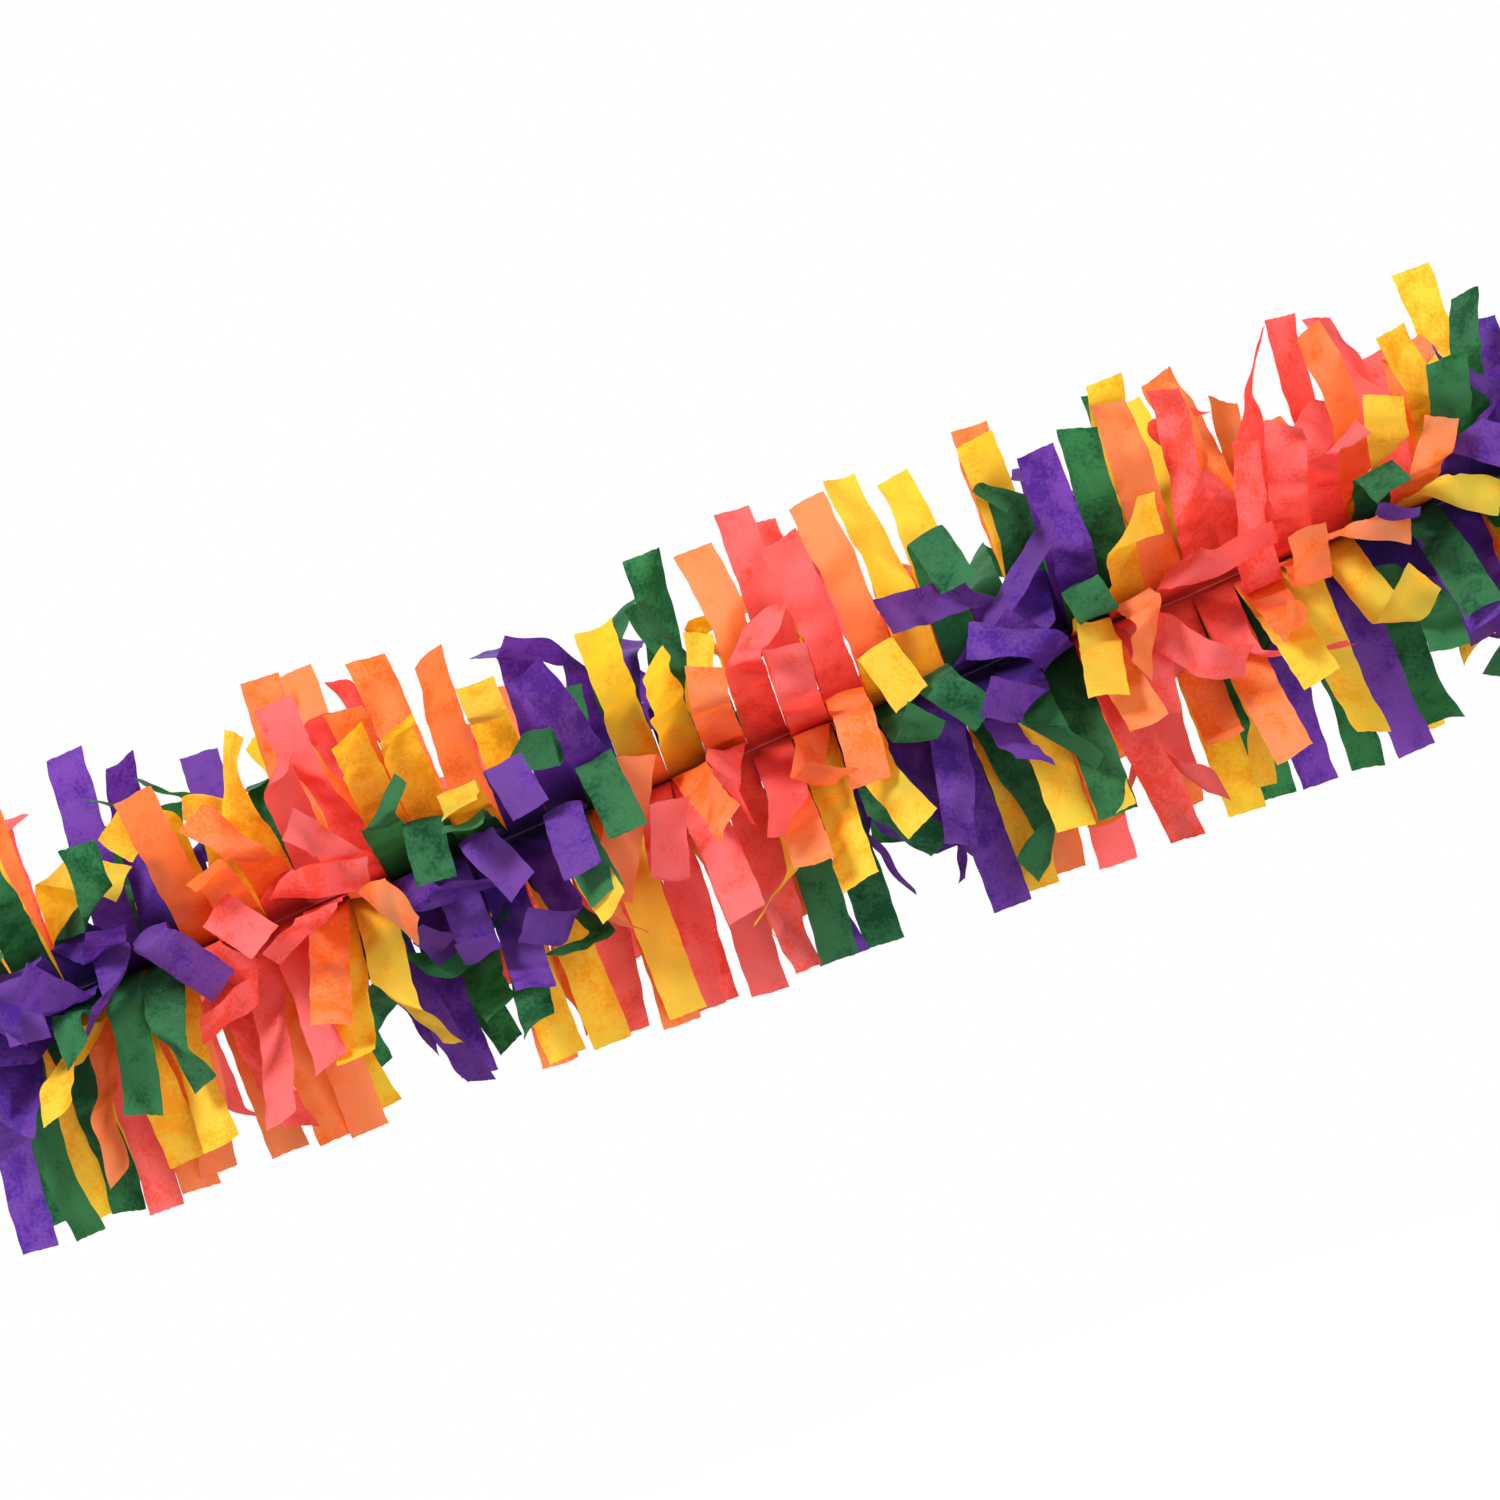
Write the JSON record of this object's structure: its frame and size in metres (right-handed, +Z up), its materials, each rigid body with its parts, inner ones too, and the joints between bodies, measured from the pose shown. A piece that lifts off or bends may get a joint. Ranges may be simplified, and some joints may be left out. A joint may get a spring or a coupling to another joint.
{
  "type": "tissue paper garland",
  "caption": "Twisted, fringed garland of tissue paper plies in purple, green, yellow, orange and coral, sewn down the middle and hung up by its ends.",
  "frame": {"origin": "left end of the seam, where the garland is pinned or taped up", "axes": "+X along the seam from the left end to the right end, +Z up, the pictured side faces -Y"},
  "size_m": [0.506, 0.1356, 0.1389],
  "materials": {
    "purple_tissue": "matt translucent tissue",
    "green_tissue": "matt translucent tissue",
    "yellow_tissue": "matt translucent tissue",
    "orange_tissue": "matt translucent tissue",
    "coral_tissue": "matt translucent tissue",
    "purple_thread": "spun polyester thread",
    "coral_thread": "spun polyester thread"
  },
  "bodies": {
    "root": {"purple_ply": "purple_tissue", "green_ply": "green_tissue", "yellow_ply": "yellow_tissue", "orange_ply": "orange_tissue", "coral_ply": "coral_tissue", "needle_thread": "purple_thread", "bobbin_thread": "coral_thread"}
  },
  "joints": []
}
